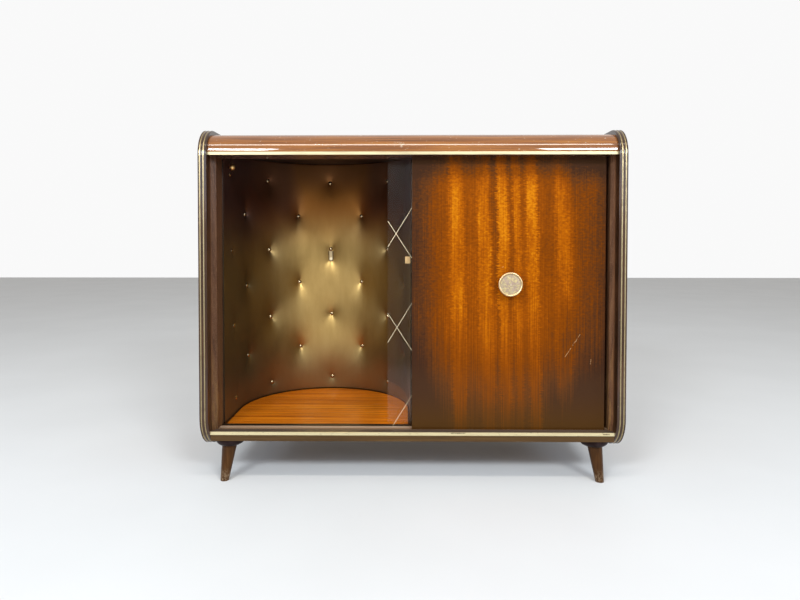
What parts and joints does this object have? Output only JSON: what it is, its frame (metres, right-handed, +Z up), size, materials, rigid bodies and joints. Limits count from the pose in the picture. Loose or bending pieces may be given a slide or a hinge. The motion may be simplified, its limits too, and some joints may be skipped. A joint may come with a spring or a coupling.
{
  "type": "bar cabinet",
  "caption": "Low bar cabinet with a tufted half-round niche, a wooden and a glass sliding door, a fold-down shelf inside, reeded sides with brass lines and splayed legs.",
  "frame": {"origin": "on the floor, at the middle of the plan", "axes": "+X to the right seen from the front, +Y to the back, +Z up"},
  "size_m": [0.82, 0.378, 0.694],
  "materials": {
    "side_veneer": "high gloss dark brown veneer",
    "reeded_wood": "glossy dark brown half-round beads",
    "brass_line": "polished inlaid line",
    "rail_wood": "high gloss orange brown",
    "top_veneer": "high gloss veneer",
    "ceiling_stain": "dark stain",
    "sill_wood": "satin brown",
    "brass_strip": "pale polished strip",
    "bottom_wood": "plain brown",
    "back_board": "brown hardboard",
    "stile_wood": "glossy reddish brown",
    "inner_wood": "satin brown",
    "barrel_ply": "bent plywood",
    "gold_vinyl": "satin antique gold vinyl",
    "button_brass": "small domed nails",
    "tab_brass": "small tongue",
    "peg_bead": "bead on a pin",
    "floor_veneer": "glossy orange veneer with a fine grain",
    "door_veneer": "high gloss ribbon-stripe veneer",
    "clear_glass": "clear sheet with gilt lines",
    "pull_brass": "small block",
    "knob_gold": "polished",
    "knob_pearl": "mottled cream and gold",
    "steel": "plain",
    "hinge_brass": "plated",
    "shelf_wood": "satin veneer",
    "leg_wood": "glossy dark brown",
    "collar_black": "black"
  },
  "bodies": {
    "cabinet": {"back_nails": "steel", "back_panel": "back_board", "barrel_padding": "gold_vinyl", "barrel_shell": "barrel_ply", "bottom_panel": "bottom_wood", "ceiling_panel": "ceiling_stain", "ceiling_peg": "peg_bead", "centre_partition": "inner_wood", "collar_front_left": "collar_black", "collar_front_right": "collar_black", "collar_rear_left": "collar_black", "collar_rear_right": "collar_black", "hinge_leaf_fixed": "hinge_brass", "hinge_pin": "hinge_brass", "hinge_screws_fixed": "steel", "leg_bolts": "steel", "leg_front_left": "leg_wood", "leg_front_right": "leg_wood", "leg_rear_left": "leg_wood", "leg_rear_right": "leg_wood", "niche_floor": "floor_veneer", "padding_buttons": "button_brass", "shelf_batten": "inner_wood", "shelf_cleat_left": "inner_wood", "shelf_cleat_right": "inner_wood", "side_brass_lines_left": "brass_line", "side_brass_lines_right": "brass_line", "side_lipping_left": "reeded_wood", "side_lipping_right": "reeded_wood", "side_panel_left": "side_veneer", "side_panel_right": "side_veneer", "sill": "sill_wood", "sill_brass_strip": "brass_strip", "stile_left": "stile_wood", "stile_right": "stile_wood", "top_brass_strip": "brass_strip", "top_front_rail": "rail_wood", "top_panel": "top_veneer", "wall_tab": "tab_brass"},
    "wood_door": {"wood_door": "door_veneer", "knob_foot": "knob_gold", "knob_rim": "knob_gold", "knob_face": "knob_pearl", "knob_screw": "steel"},
    "glass_door": {"glass_door": "clear_glass", "glass_pull": "pull_brass"},
    "fold_shelf": {"fold_shelf": "shelf_wood", "hinge_leaf_moving": "hinge_brass", "hinge_screws_moving": "steel"}
  },
  "joints": [
    {"name": "wood_door_slide", "type": "slide", "parent": "cabinet", "child": "wood_door", "axis": [1, 0, 0], "range_m": [-0.3842, 0.0067]},
    {"name": "glass_door_slide", "type": "slide", "parent": "cabinet", "child": "glass_door", "axis": [1, 0, 0], "range_m": [-0.3357, 0.0357]},
    {"name": "fold_shelf_hinge", "type": "hinge", "parent": "cabinet", "child": "fold_shelf", "pos_m": [0.2, 0.1665, 0.385], "axis": [1, 0, 0], "range_deg": [0, 90]}
  ]
}
